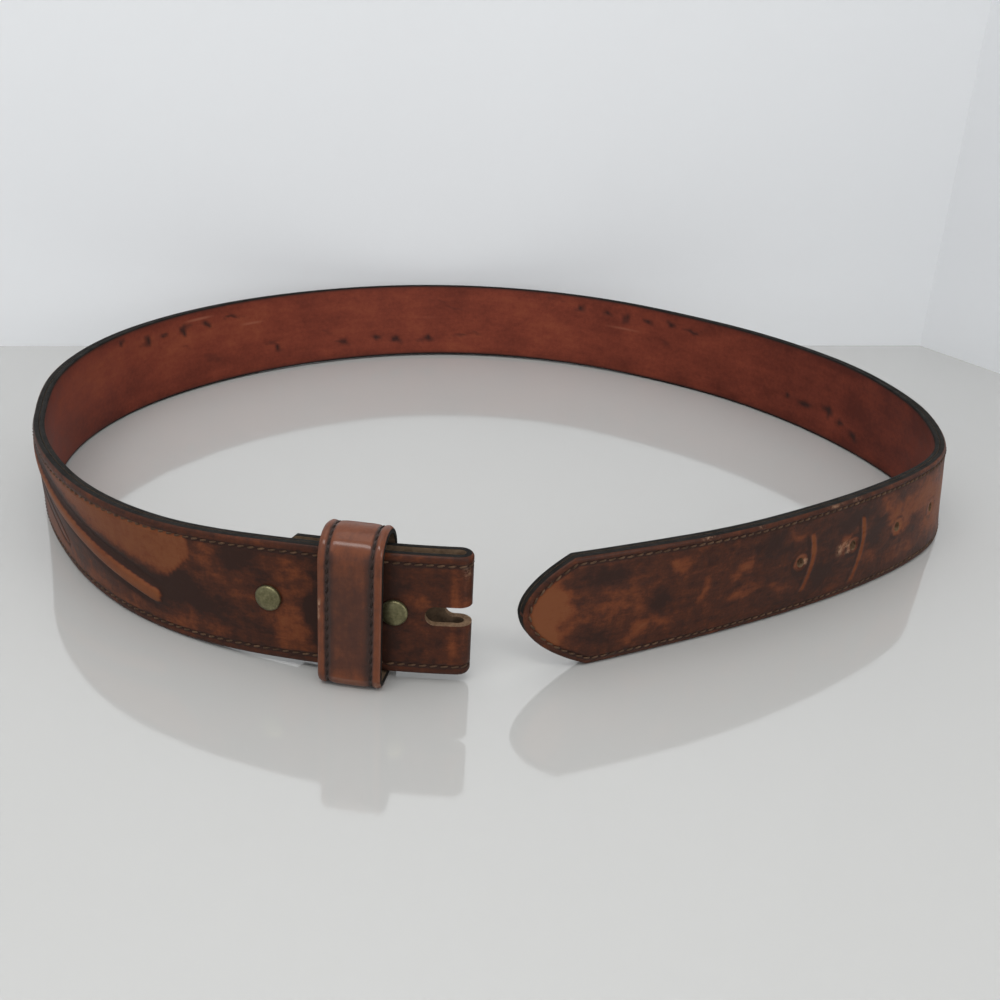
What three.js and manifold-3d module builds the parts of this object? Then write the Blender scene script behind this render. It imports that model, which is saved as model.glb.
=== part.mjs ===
// Western belt strap with snaps for a changeable buckle, standing on its lower edge in an open loop.
// Millimetres, +Z up. The doubled buckle end is at the front, with the fold at its +X end, and the strap
// goes round clockwise, seen from above, to its pointed tip. It runs along -X where the keeper sits.
import * as THREE from 'three';
import { mergeVertices } from 'three/addons/utils/BufferGeometryUtils.js';
import Module from 'manifold-3d';

const STRAP_LENGTH = 1056;   // from the outside of the fold to the tip
const STRAP_WIDTH = 38;
const FACE_THICKNESS = 2.2;   // outer leather
const LINING_THICKNESS = 1.6; // inner leather
const LAYER_GAP = 0.3;        // between two pieces that touch
const EDGE_BEVEL = 0.4;       // rubbed edges of the leather

// Across the strap, "out" is counted from the joint between the two leathers towards the outside.
const FACE_MIDDLE = LAYER_GAP / 2 + FACE_THICKNESS / 2;
const FACE_FRONT = LAYER_GAP / 2 + FACE_THICKNESS;
const LINING_MIDDLE = -LAYER_GAP / 2 - LINING_THICKNESS / 2;
const LINING_BACK = -LAYER_GAP / 2 - LINING_THICKNESS;

// The strap's way round, counted from the fold: how far it has turned clockwise, in degrees, how far
// its upper edge leans outwards, in degrees, and how high its lower edge is held up by the keeper.
const ROUTE = [
  { at: 0, turn: -11.3, lean: 0, lift: 2.7 },
  { at: 20, turn: -5.4, lean: -0.5, lift: 2.6 },
  { at: 40, turn: 1.6, lean: -0.5, lift: 2.6 },
  { at: 62, turn: 9.5, lean: 0.5, lift: 1.6 },
  { at: 80, turn: 15.1, lean: 2.4, lift: 0.4 },
  { at: 100, turn: 23.2, lean: 4.2, lift: 0 },
  { at: 140, turn: 41.9, lean: 6.5, lift: 0 },
  { at: 180, turn: 50.9, lean: 5.1, lift: 0 },
  { at: 220, turn: 62.2, lean: -1.9, lift: 0 },
  { at: 270, turn: 83.3, lean: -1.9, lift: 0 },
  { at: 330, turn: 106, lean: 1.9, lift: 0 },
  { at: 400, turn: 126.6, lean: 6.7, lift: 0 },
  { at: 470, turn: 146.4, lean: 9.7, lift: 0 },
  { at: 540, turn: 174.4, lean: 9.3, lift: 0 },
  { at: 600, turn: 196.4, lean: 5.9, lift: 0 },
  { at: 650, turn: 208.4, lean: 0.2, lift: 0 },
  { at: 700, turn: 224, lean: 0.5, lift: 0 },
  { at: 750, turn: 236.4, lean: 0.9, lift: 0 },
  { at: 795, turn: 248.6, lean: -5.9, lift: 0 },
  { at: 835, turn: 271.8, lean: -9.1, lift: 0 },
  { at: 875, turn: 305.6, lean: -1.6, lift: 0 },
  { at: 925, turn: 315.4, lean: 2.2, lift: 0 },
  { at: 985, turn: 322.4, lean: 6.3, lift: 0 },
  { at: 1065, turn: 327.2, lean: 1.1, lift: 0 },
];
const ROUTE_EASING = 14;      // each change of bend is spread over this length
const ROUTE_STEP = 1;
const STATION_STEP = 9;

const EYE_GAP = 3.45;         // clear space in the fold, for the buckle's bar
const FOLD_STEPS = 12;
const LINING_START = 30;      // the lining ends under the keeper
const TAB = { shoulder: 51, end: 66, endLow: 13, endHigh: 25 };

const TONGUE_SLOT = { length: 13.3, tabLength: 8, width: 6, height: 19.3 };
const TIP = { noseHeight: 21.5, upperShoulder: 15.3, lowerShoulder: 22.9, steps: 12 };
const HOLES = { count: 5, fromTip: 103, spacing: 26.5, radius: 2.2, height: 19.3 };

const SNAPS = [
  { name: '1', at: 57.6, height: 20, collar: false },
  { name: '2', at: 21.9, height: 19.8, collar: true },
];
const SNAP_CAP_RADIUS = 4;
const SNAP_CAP_HEIGHT = 1.5;
const SNAP_POST_RADIUS = 1.4;
const SNAP_HOLE_RADIUS = 1.8;
const SNAP_COLLAR_RADIUS = 3.1;
const SNAP_BACK_RADIUS = 3.6;
const SNAP_BACK_THICKNESS = 0.8;

const KEEPER = { at: 32.8, width: 18.5, wall: 2 };
// The keeper's outline across the strap: it stands forward at its foot and slopes down behind its crown.
const KEEPER_CORNERS = [
  { out: -10.3, height: 0, radius: 3 },
  { out: 10.15, height: 0, radius: 4.5 },
  { out: 8.8, height: 49, radius: 8.5 },
  { out: -9.2, height: 45.8, radius: 9 },
];

// The raised finger on the face: a strip along a slant, from its round lower end near the snaps up to
// the upper stitch row. Its width is given as a share of the full one.
const FINGER = { width: 5, height: 1.1, root: 0.6 };
const FINGER_LINE = [
  { at: 97.5, height: 12, width: 0.5 },
  { at: 98.5, height: 12.2, width: 0.85 },
  { at: 101, height: 12.8, width: 1 },
  { at: 116, height: 16.2, width: 1 },
  { at: 132, height: 19.6, width: 1 },
  { at: 150, height: 23.4, width: 0.9 },
  { at: 170, height: 28, width: 0.7 },
  { at: 188, height: 32.2, width: 0.35 },
];

const radians = THREE.MathUtils.degToRad;

const wasm = await Module();
wasm.setup();

// Value of one column of a table at a place along it.
function tableValue(rows, column, at) {
  const next = rows.findIndex((row) => row.at > at);
  if (next === 0) return rows[0][column];
  if (next === -1) return rows[rows.length - 1][column];
  const before = rows[next - 1];
  const after = rows[next];
  return THREE.MathUtils.mapLinear(at, before.at, after.at, before[column], after[column]);
}

function easedValue(column, at) {
  const offsets = [-1, -0.5, 0, 0.5, 1];
  const total = offsets.reduce((sum, k) => sum + tableValue(ROUTE, column, at + k * ROUTE_EASING), 0);
  return total / offsets.length;
}

// Plan of the joint between the two leathers, in steps from the fold. The first run goes along -X.
const plan = [{ x: 0, y: 0 }];
for (let at = 0; at < STRAP_LENGTH; at += ROUTE_STEP) {
  const heading = Math.PI - radians(easedValue('turn', at + ROUTE_STEP / 2));
  const last = plan[plan.length - 1];
  plan.push({ x: last.x + ROUTE_STEP * Math.cos(heading), y: last.y + ROUTE_STEP * Math.sin(heading) });
}

// The strap's place and directions at a distance from the fold.
function strapFrame(at) {
  const index = THREE.MathUtils.clamp(Math.floor(at / ROUTE_STEP), 0, plan.length - 2);
  const share = at / ROUTE_STEP - index;
  const heading = Math.PI - radians(easedValue('turn', at));
  const lean = radians(easedValue('lean', at));
  const along = new THREE.Vector3(Math.cos(heading), Math.sin(heading), 0);
  const outward = new THREE.Vector3(-along.y, along.x, 0);
  const slope = (easedValue('lift', at + 1) - easedValue('lift', at - 1)) / 2;
  const up = outward.clone().multiplyScalar(Math.sin(lean)).setZ(Math.cos(lean));
  up.addScaledVector(along, -slope);
  const out = outward.clone().multiplyScalar(Math.cos(lean)).setZ(-Math.sin(lean));
  const lowestCorner = Math.max(Math.sin(lean) * FACE_FRONT, Math.sin(lean) * LINING_BACK);
  const origin = new THREE.Vector3(
    THREE.MathUtils.lerp(plan[index].x, plan[index + 1].x, share),
    THREE.MathUtils.lerp(plan[index].y, plan[index + 1].y, share),
    easedValue('lift', at) + lowestCorner,
  );
  return { origin, out, up };
}

function strapPoint(at, out, height) {
  const frame = strapFrame(at);
  return frame.origin.addScaledVector(frame.out, out).addScaledVector(frame.up, height);
}

// Turns a shape so that its X runs towards the fold, its Y up the strap and its Z outwards, and seats it.
function seatOnStrap(geometry, at, out, height) {
  const frame = strapFrame(at);
  const towardsFold = new THREE.Vector3().crossVectors(frame.up, frame.out).normalize();
  const matrix = new THREE.Matrix4().makeBasis(towardsFold, frame.up, frame.out);
  matrix.setPosition(strapPoint(at, out, height));
  return geometry.applyMatrix4(matrix);
}

// Closed body with flat ends through rings of equal point count. Seen from the first ring's end, their
// points run anticlockwise. Every diagonal rises the same way, so that two layers keep their distance.
function loft(rings) {
  const count = rings[0].length;
  const points = rings.flat().flatMap((point) => point.toArray());
  const faces = [];
  for (let ring = 0; ring < rings.length - 1; ring += 1) {
    for (let i = 0; i < count; i += 1) {
      const a = ring * count + i;
      const b = ring * count + ((i + 1) % count);
      const rising = rings[ring][(i + 1) % count].z >= rings[ring][i].z;
      if (rising) faces.push(a, b + count, b, a, a + count, b + count);
      else faces.push(a, a + count, b, b, a + count, b + count);
    }
  }
  const lastRing = (rings.length - 1) * count;
  for (let i = 1; i < count - 1; i += 1) {
    faces.push(0, i, i + 1);
    faces.push(lastRing, lastRing + i + 1, lastRing + i);
  }
  const geometry = new THREE.BufferGeometry();
  geometry.setAttribute('position', new THREE.Float32BufferAttribute(points, 3));
  geometry.setIndex(faces);
  return geometry;
}

function solid(geometry) {
  const bare = geometry.clone();
  bare.deleteAttribute('normal');
  bare.deleteAttribute('uv');
  const merged = mergeVertices(bare, 1e-4);
  const vertProperties = new Float32Array(merged.attributes.position.array);
  const triVerts = new Uint32Array(merged.index.array);
  return new wasm.Manifold(new wasm.Mesh({ numProp: 3, vertProperties, triVerts }));
}

function bodyGeometry(body) {
  const mesh = body.getMesh();
  const geometry = new THREE.BufferGeometry();
  geometry.setAttribute('position', new THREE.BufferAttribute(mesh.vertProperties, 3));
  geometry.setIndex(new THREE.BufferAttribute(mesh.triVerts, 1));
  geometry.computeVertexNormals();
  return geometry;
}

// Section of a leather layer: its thickness runs along (sideAlong, sideOut), its width up the strap.
function layerRing({ at, out, sideAlong, sideOut, low, high }, thickness) {
  const bevel = Math.min(EDGE_BEVEL, (high - low) / 4);
  const half = thickness / 2;
  const corners = [
    [half, low + bevel], [half, high - bevel], [half - bevel, high], [bevel - half, high],
    [-half, high - bevel], [-half, low + bevel], [bevel - half, low], [half - bevel, low],
  ];
  return corners.map(([side, height]) => strapPoint(at + sideAlong * side, out + sideOut * side, height));
}

// Upper and lower outline at a distance from the tip: two parabolas that meet at the nose.
function tipOutline(fromTip) {
  const { noseHeight, upperShoulder, lowerShoulder } = TIP;
  const high = noseHeight + (STRAP_WIDTH - noseHeight) * Math.sqrt(Math.min(fromTip / upperShoulder, 1));
  const low = noseHeight * (1 - Math.sqrt(Math.min(fromTip / lowerShoulder, 1)));
  return { low, high };
}

// Places along the strap from the tip down to an end, closer together at the tip.
function stationsFromTip(end) {
  const distances = [TIP.upperShoulder];
  for (let k = 0.8; k <= TIP.steps; k += 1) {
    distances.push(TIP.lowerShoulder * (k / TIP.steps) ** 2);
  }
  const run = STRAP_LENGTH - TIP.lowerShoulder - end;
  const count = Math.round(run / STATION_STEP);
  for (let k = 0; k <= count; k += 1) {
    distances.push(TIP.lowerShoulder + (run * k) / count);
  }
  return distances.sort((a, b) => a - b).map((distance) => STRAP_LENGTH - distance);
}

const foldRadius = (EYE_GAP + FACE_THICKNESS) / 2;
const foldCentre = { at: foldRadius + FACE_THICKNESS / 2, out: FACE_MIDDLE - foldRadius };
const tabMiddle = foldCentre.out - foldRadius;
const tabBack = tabMiddle - FACE_THICKNESS / 2;

// Places along the strap, from the tip, that both leathers share, so that their facets stay parallel.
const sharedStations = stationsFromTip(LINING_START);

function liningGeometry() {
  const rings = sharedStations.map((at) => {
    const outline = tipOutline(STRAP_LENGTH - at);
    return layerRing({ at, out: LINING_MIDDLE, sideAlong: 0, sideOut: 1, ...outline }, LINING_THICKNESS);
  });
  return loft(rings);
}

function faceGeometry() {
  const full = { low: 0, high: STRAP_WIDTH };
  const stations = sharedStations.map((at) => (
    { at, out: FACE_MIDDLE, sideAlong: 0, sideOut: 1, ...tipOutline(STRAP_LENGTH - at) }
  ));
  stations.push({ at: (LINING_START + foldCentre.at) / 2, out: FACE_MIDDLE, sideAlong: 0, sideOut: 1, ...full });
  for (let k = 0; k <= FOLD_STEPS; k += 1) {
    const angle = (Math.PI * k) / FOLD_STEPS;
    stations.push({
      at: foldCentre.at - foldRadius * Math.sin(angle),
      out: foldCentre.out + foldRadius * Math.cos(angle),
      sideAlong: -Math.sin(angle),
      sideOut: Math.cos(angle),
      ...full,
    });
  }
  const tab = { out: tabMiddle, sideAlong: 0, sideOut: -1 };
  [10, 17, 24, 31, 38, 45, TAB.shoulder].forEach((at) => stations.push({ at, ...tab, ...full }));
  stations.push({ at: TAB.end, ...tab, low: TAB.endLow, high: TAB.endHigh });
  return loft(stations.map((station) => layerRing(station, FACE_THICKNESS)));
}

function fingerGeometry() {
  const { width, height, root } = FINGER;
  const section = [
    [-0.5, -root], [0.5, -root], [0.5, height * 0.2], [0.34, height * 0.8], [0.12, height],
    [-0.12, height], [-0.34, height * 0.8], [-0.5, height * 0.2],
  ];
  const rings = FINGER_LINE.map((row, index) => {
    const before = FINGER_LINE[Math.max(index - 1, 0)];
    const after = FINGER_LINE[Math.min(index + 1, FINGER_LINE.length - 1)];
    const slant = Math.atan2(after.height - before.height, after.at - before.at);
    return section.map(([side, rise]) => {
      const across = side * width * row.width;
      const top = rise > 0 ? rise * Math.min(1, row.width + 0.3) : rise;
      return strapPoint(
        row.at - across * Math.sin(slant),
        FACE_FRONT + top,
        row.height + across * Math.cos(slant),
      );
    });
  });
  return loft(rings);
}

function roundCutter(at, out, height, radius, depth) {
  const cylinder = new THREE.CylinderGeometry(radius, radius, depth, 16);
  return solid(seatOnStrap(cylinder.rotateX(Math.PI / 2), at, out, height));
}

function holeCutters() {
  return Array.from({ length: HOLES.count }, (_, k) => {
    const at = STRAP_LENGTH - HOLES.fromTip - HOLES.spacing * k;
    return roundCutter(at, 0, HOLES.height, HOLES.radius, 12);
  });
}

function snapCutters(out, depth) {
  return SNAPS.map((snap) => roundCutter(snap.at, out, snap.height, SNAP_HOLE_RADIUS, depth));
}

// The tongue's slot opens at the fold and ends in a half circle, sooner in the tab than in the face.
// A cutter reaches from just past the fold's middle to one side: 1 is the face's, -1 the tab's.
function slotCutter(length, side) {
  const radius = TONGUE_SLOT.width / 2;
  const clear = 4;
  const past = 0.8;
  const outline = new THREE.Shape();
  outline.moveTo(length + clear, -radius);
  outline.lineTo(length + clear, radius);
  outline.lineTo(radius, radius);
  outline.absarc(radius, 0, radius, Math.PI / 2, Math.PI * 1.5, false);
  const depth = 12;
  const cutter = new THREE.ExtrudeGeometry(outline, { depth, bevelEnabled: false, curveSegments: 12 });
  cutter.translate(0, 0, side * (depth / 2 - past) - depth / 2);
  return solid(seatOnStrap(cutter, length, foldCentre.out, TONGUE_SLOT.height));
}

function cut(body, cutters) {
  return cutters.reduce((rest, cutter) => rest.subtract(cutter), body);
}

// The cap's underside is 0; its post goes down through the leathers to the tab's back.
function snapCapGeometry(snap) {
  const postEnd = tabBack - FACE_FRONT - LAYER_GAP;
  const collar = snap.collar
    ? { top: -FACE_FRONT - LAYER_GAP * 1.5, bottom: tabMiddle + FACE_THICKNESS / 2 - FACE_FRONT }
    : null;
  const profile = [[0, postEnd], [SNAP_POST_RADIUS, postEnd]];
  if (collar) {
    profile.push([SNAP_POST_RADIUS, collar.bottom], [SNAP_COLLAR_RADIUS, collar.bottom]);
    profile.push([SNAP_COLLAR_RADIUS, collar.top], [SNAP_POST_RADIUS, collar.top]);
  }
  profile.push([SNAP_POST_RADIUS, 0], [SNAP_CAP_RADIUS - 0.3, 0], [SNAP_CAP_RADIUS, 0.3]);
  profile.push([SNAP_CAP_RADIUS, 0.6], [SNAP_CAP_RADIUS - 0.5, SNAP_CAP_HEIGHT * 0.72]);
  profile.push([SNAP_CAP_RADIUS * 0.6, SNAP_CAP_HEIGHT * 0.93], [0, SNAP_CAP_HEIGHT]);
  return latheOnStrap(profile, snap, FACE_FRONT + LAYER_GAP);
}

function snapBackGeometry(snap) {
  const rim = SNAP_BACK_RADIUS - 0.35;
  const profile = [
    [0, -SNAP_BACK_THICKNESS], [rim, -SNAP_BACK_THICKNESS],
    [SNAP_BACK_RADIUS, 0.3 - SNAP_BACK_THICKNESS], [SNAP_BACK_RADIUS, 0], [0, 0],
  ];
  return latheOnStrap(profile, snap, tabBack - LAYER_GAP);
}

function latheOnStrap(profile, snap, out) {
  const points = profile.map(([radius, height]) => new THREE.Vector2(radius, height));
  const round = new THREE.LatheGeometry(points, 24).rotateX(Math.PI / 2);
  return bodyGeometry(solid(seatOnStrap(round, snap.at, out, snap.height)));
}

// Directions of the two edges at a corner of an outline, both away from it.
function edgesAt(corners, index) {
  const corner = corners[index];
  return [corners.at(index - 1), corners[(index + 1) % corners.length]].map((other) => (
    new THREE.Vector2(other.out - corner.out, other.height - corner.height).normalize()
  ));
}

// The same outline, drawn a wall's thickness further in.
function insetCorners(corners, distance) {
  return corners.map((corner, index) => {
    const [back, on] = edgesAt(corners, index);
    const reach = distance / Math.sin(back.angleTo(on));
    return {
      out: corner.out + (back.x + on.x) * reach,
      height: corner.height + (back.y + on.y) * reach,
      radius: corner.radius - distance,
    };
  });
}

function drawRounded(path, corners) {
  corners.forEach((corner, index) => {
    const [back, on] = edgesAt(corners, index);
    const half = back.angleTo(on) / 2;
    const reach = corner.radius / Math.tan(half);
    const inward = back.clone().add(on).setLength(corner.radius / Math.sin(half));
    const centre = inward.add(new THREE.Vector2(corner.out, corner.height));
    const start = new THREE.Vector2(corner.out, corner.height).addScaledVector(back, reach).sub(centre);
    const end = new THREE.Vector2(corner.out, corner.height).addScaledVector(on, reach).sub(centre);
    path.absarc(centre.x, centre.y, corner.radius, start.angle(), end.angle(), false);
  });
  return path;
}

function keeperGeometry() {
  const { wall, width } = KEEPER;
  const outline = drawRounded(new THREE.Shape(), KEEPER_CORNERS);
  outline.holes.push(drawRounded(new THREE.Path(), insetCorners(KEEPER_CORNERS, wall)));
  const loop = new THREE.ExtrudeGeometry(outline, { depth: width, bevelEnabled: false, curveSegments: 7 });
  loop.translate(0, 0, -width / 2);
  // The outline's X becomes -Y and its depth goes along -X.
  loop.applyMatrix4(new THREE.Matrix4().makeBasis(
    new THREE.Vector3(0, -1, 0), new THREE.Vector3(0, 0, 1), new THREE.Vector3(-1, 0, 0),
  ));
  const centre = strapFrame(KEEPER.at).origin;
  return loop.translate(centre.x, centre.y, 0);
}

const leatherBrown = new THREE.MeshStandardMaterial({ color: 0x5a2a17, roughness: 0.42, metalness: 0 });
const liningRed = new THREE.MeshStandardMaterial({ color: 0x7a3020, roughness: 0.6, metalness: 0 });
const keeperTan = new THREE.MeshStandardMaterial({ color: 0x7b3d1e, roughness: 0.35, metalness: 0 });
const snapBrass = new THREE.MeshStandardMaterial({ color: 0x7d7848, roughness: 0.35, metalness: 0.9 });

const belt = new THREE.Group();
belt.name = 'western_belt';

function addPiece(name, geometry, material) {
  const mesh = new THREE.Mesh(geometry, material);
  mesh.name = name;
  belt.add(mesh);
}

const throughStrap = 14;
const slotCutters = [slotCutter(TONGUE_SLOT.length, 1), slotCutter(TONGUE_SLOT.tabLength, -1)];
const faceBody = cut(
  solid(faceGeometry()).add(solid(fingerGeometry())),
  [...holeCutters(), ...snapCutters(0, throughStrap), ...slotCutters],
);
const liningBody = cut(solid(liningGeometry()), [...holeCutters(), ...snapCutters(0, throughStrap)]);
addPiece('strap_face', bodyGeometry(faceBody), leatherBrown);
addPiece('strap_lining', bodyGeometry(liningBody), liningRed);
addPiece('keeper', keeperGeometry(), keeperTan);
SNAPS.forEach((snap) => {
  addPiece(`snap_cap_${snap.name}`, snapCapGeometry(snap), snapBrass);
  addPiece(`snap_back_${snap.name}`, snapBackGeometry(snap), snapBrass);
});

// The origin is under the middle of the whole belt, on the surface that it stands on.
const bounds = new THREE.Box3().setFromObject(belt, true);
const middle = bounds.getCenter(new THREE.Vector3());
belt.position.set(-middle.x, -middle.y, -bounds.min.z);

export default belt;
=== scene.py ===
# Western belt strap standing in an open loop on a glossy pale table, in front of a wall.
# The leather is measured in millimetres along the strap and becomes metres in the meshes.
import math

import bpy
import numpy as np
from mathutils import Matrix, Vector


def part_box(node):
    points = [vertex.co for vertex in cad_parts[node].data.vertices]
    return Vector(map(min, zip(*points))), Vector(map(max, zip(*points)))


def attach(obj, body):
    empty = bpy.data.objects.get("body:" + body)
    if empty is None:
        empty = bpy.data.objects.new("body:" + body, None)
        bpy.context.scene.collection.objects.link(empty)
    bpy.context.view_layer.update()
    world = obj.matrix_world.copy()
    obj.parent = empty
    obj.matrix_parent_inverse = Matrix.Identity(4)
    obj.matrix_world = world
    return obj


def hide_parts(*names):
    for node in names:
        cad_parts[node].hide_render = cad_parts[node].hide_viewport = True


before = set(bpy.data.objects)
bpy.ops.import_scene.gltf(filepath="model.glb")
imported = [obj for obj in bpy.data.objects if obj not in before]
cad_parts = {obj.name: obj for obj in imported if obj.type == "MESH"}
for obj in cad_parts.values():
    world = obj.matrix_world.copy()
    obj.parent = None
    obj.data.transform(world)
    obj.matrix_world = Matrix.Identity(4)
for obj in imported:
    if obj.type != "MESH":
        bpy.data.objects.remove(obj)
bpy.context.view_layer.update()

mm = 0.001
bpy.ops.object.select_all(action="DESELECT")


# Small helpers


def smooth(low, high, value):
    share = np.clip((value - low) / (high - low), 0, 1)
    return share * share * (3 - 2 * share)


def bell(value, width):
    return np.exp(-((value / width) ** 2))


def makeActive(piece):
    bpy.ops.object.select_all(action="DESELECT")
    piece.select_set(True)
    bpy.context.view_layer.objects.active = piece


def applyModifiers(piece):
    makeActive(piece)
    for modifier in list(piece.modifiers):
        bpy.ops.object.modifier_apply(modifier=modifier.name)


def settle(piece):
    # place, turn and size go into the mesh
    makeActive(piece)
    bpy.ops.object.transform_apply(location=True, rotation=True, scale=True)


def editing(on):
    bpy.ops.object.mode_set(mode="EDIT" if on else "OBJECT")


def newPiece(name, mesh):
    # links the mesh and turns all its faces outwards
    piece = bpy.data.objects.new(name, mesh)
    bpy.context.collection.objects.link(piece)
    makeActive(piece)
    editing(True)
    bpy.ops.mesh.select_all(action="SELECT")
    bpy.ops.mesh.normals_make_consistent(inside=False)
    editing(False)
    return piece


# Materials

def newMaterial(name):
    material = bpy.data.materials.new(name)
    material.use_nodes = True
    tree = material.node_tree
    return material, tree, tree.nodes["Principled BSDF"]


def fill(tree, node, values):
    # numbers and colours are set on their sockets, and other nodes' outputs are linked to them
    for name, value in values.items():
        socket = node.inputs[name]
        if isinstance(value, bpy.types.NodeSocket):
            tree.links.new(value, socket)
        elif socket.type == "RGBA":
            socket.default_value = (*value, 1)
        else:
            socket.default_value = value
    return node


def addNode(tree, kind, values):
    return fill(tree, tree.nodes.new("ShaderNode" + kind), values)


def addNoise(tree, vector, scale, detail, roughness, stretch=(1, 1, 1)):
    mapping = addNode(tree, "Mapping", {"Vector": vector, "Scale": stretch})
    return addNode(tree, "TexNoise", {
        "Vector": mapping.outputs["Vector"], "Scale": scale, "Detail": detail, "Roughness": roughness,
    }).outputs["Fac"]


def addMath(tree, operation, first, second):
    node = addNode(tree, "Math", {0: first, 1: second})
    node.operation = operation
    return node.outputs[0]


def addRamp(tree, factor, stops):
    ramp = addNode(tree, "ValToRGB", {"Fac": factor})
    elements = ramp.color_ramp.elements
    while len(elements) < len(stops):
        elements.new(0.5)
    for element, (place, colour) in zip(elements, stops):
        element.position = place
        element.color = (*colour, 1)
    return ramp.outputs["Color"]


def addMix(tree, factor, first, second):
    mix = tree.nodes.new("ShaderNodeMix")
    mix.data_type = "RGBA"
    return fill(tree, mix, {0: factor, 6: first, 7: second}).outputs[2]


def addBump(tree, height, distance, strength, before=None):
    bump = addNode(tree, "Bump", {"Height": height, "Distance": distance, "Strength": strength})
    if before is not None:
        fill(tree, bump, {"Normal": before})
    return bump.outputs["Normal"]


def addGrain(tree, vector, scale, depth):
    # creased cells of a leather's grain
    cells = addNode(tree, "TexVoronoi", {"Vector": vector, "Scale": scale})
    cells.feature = "DISTANCE_TO_EDGE"
    return addBump(tree, cells.outputs["Distance"], depth, 0.35)


def addRange(tree, value, low, high):
    return addNode(tree, "MapRange", {"Value": value, "To Min": low, "To Max": high}).outputs["Result"]


def readPlace(tree):
    return tree.nodes.new("ShaderNodeTexCoord").outputs["Object"]


def readWearAndSheen(tree):
    # the piece's own place on the leather, and the three colours painted there
    place = tree.nodes.new("ShaderNodeUVMap").outputs["UV"]
    paint = tree.nodes.new("ShaderNodeAttribute")
    paint.attribute_name = "wearAndSheen"
    parts = addNode(tree, "SeparateColor", {"Color": paint.outputs["Color"]})
    return place, parts.outputs["Red"], parts.outputs["Green"], parts.outputs["Blue"]


leatherLooks = {
    "dark": (0.026, 0.0110, 0.0075),
    "brown": (0.058, 0.0180, 0.0090),
    "orange": (0.122, 0.034, 0.0125),
    "tan": (0.148, 0.048, 0.018),
    "pale": (0.44, 0.28, 0.175),
    "mottleScale": 125,   # patches under a centimetre across
    "fleckScale": 330,
    "grainScale": 900,
}


def mottledLeather(name, roughness, specular, mottle, coat, coatRoughness):
    # tones run from dark to tan; the piece's painted colours give tan in red, grime in green, scuffs in
    # blue, and on the face leather the tan also holds a painted highlight
    looks = leatherLooks
    material, tree, shader = newMaterial(name)
    place, tan, grime, scuffs = readWearAndSheen(tree)
    clouds = addNoise(tree, place, looks["mottleScale"], 6, 0.7, (0.75, 1, 1))
    flecks = addNoise(tree, place, looks["fleckScale"], 6, 0.75, (0.8, 1, 1))
    wiped = addNoise(tree, place, 380, 5, 0.7, (0.1, 1, 1))
    dragged = addNoise(tree, place, 420, 4, 0.65, (1, 0.16, 1))
    tone = addMath(tree, "SUBTRACT", tan, grime)
    for change, amount in ((clouds, 0.72), (flecks, 1.2), (wiped, 0.5), (dragged, 0.35)):
        centred = addMath(tree, "SUBTRACT", change, 0.5)
        tone = addMath(tree, "ADD", tone, addMath(tree, "MULTIPLY", centred, mottle * amount))
    colour = addRamp(tree, tone, (
        (0.0, looks["dark"]), (0.32, looks["brown"]), (0.62, looks["orange"]), (0.95, looks["tan"])))
    torn = addMath(tree, "MULTIPLY", addMath(tree, "SUBTRACT", flecks, 0.44), 7)
    fibres = addMath(tree, "MULTIPLY", scuffs, torn)
    fibres.node.use_clamp = True
    shine = addRange(tree, clouds, roughness - 0.08, roughness + 0.1)
    grain = addGrain(tree, place, looks["grainScale"], 0.00012)
    fill(tree, shader, {
        "Base Color": addMix(tree, fibres, colour, looks["pale"]),
        "Roughness": addMath(tree, "ADD", shine, addMath(tree, "MULTIPLY", fibres, 0.3)),
        "Specular IOR Level": specular, "Coat Weight": coat, "Coat Roughness": coatRoughness,
        "Normal": addBump(tree, flecks, 0.00025, 0.45, grain),
    })
    return material


def liningLeather():
    # its painted colours give cuts in red, tone in green and light scuffs in blue
    material, tree, shader = newMaterial("liningLeather")
    place, cuts, tone, scuffs = readWearAndSheen(tree)
    clouds = addNoise(tree, place, 60, 6, 0.68, (0.6, 1, 1))
    flecks = addNoise(tree, place, 500, 4, 0.7)
    scratches = addNoise(tree, place, 300, 3, 0.6, (0.08, 1, 1))
    for change, amount in ((clouds, 0.75), (flecks, 0.25), (scratches, 0.12)):
        tone = addMath(tree, "ADD", tone, addRange(tree, change, -amount, amount))
    colour = addRamp(tree, tone, (
        (0.0, (0.075, 0.0165, 0.0105)), (0.5, (0.152, 0.0325, 0.0180)), (1.0, (0.22, 0.056, 0.026))))
    colour = addMix(tree, cuts, colour, (0.026, 0.012, 0.010))
    grain = addGrain(tree, place, 1100, 0.0001)
    fill(tree, shader, {
        "Base Color": addMix(tree, scuffs, colour, (0.34, 0.13, 0.075)),
        "Roughness": addRange(tree, clouds, 0.42, 0.62), "Specular IOR Level": 0.08,
        "Normal": addBump(tree, scratches, 0.0002, 0.3, grain),
    })
    return material


def plainLeather(name, dark, light, roughness, scale, specular):
    # one tone that drifts, for edges, flesh sides, cut fibres and thread
    material, tree, shader = newMaterial(name)
    place = readPlace(tree)
    drift = addNoise(tree, place, scale, 5, 0.7)
    fibres = addNoise(tree, place, scale * 4, 4, 0.7)
    fill(tree, shader, {
        "Base Color": addRamp(tree, drift, ((0.3, dark), (0.7, light))),
        "Roughness": addRange(tree, drift, roughness + 0.1, roughness - 0.1),
        "Specular IOR Level": specular, "Normal": addBump(tree, fibres, 0.0003, 0.5),
    })
    return material


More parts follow.
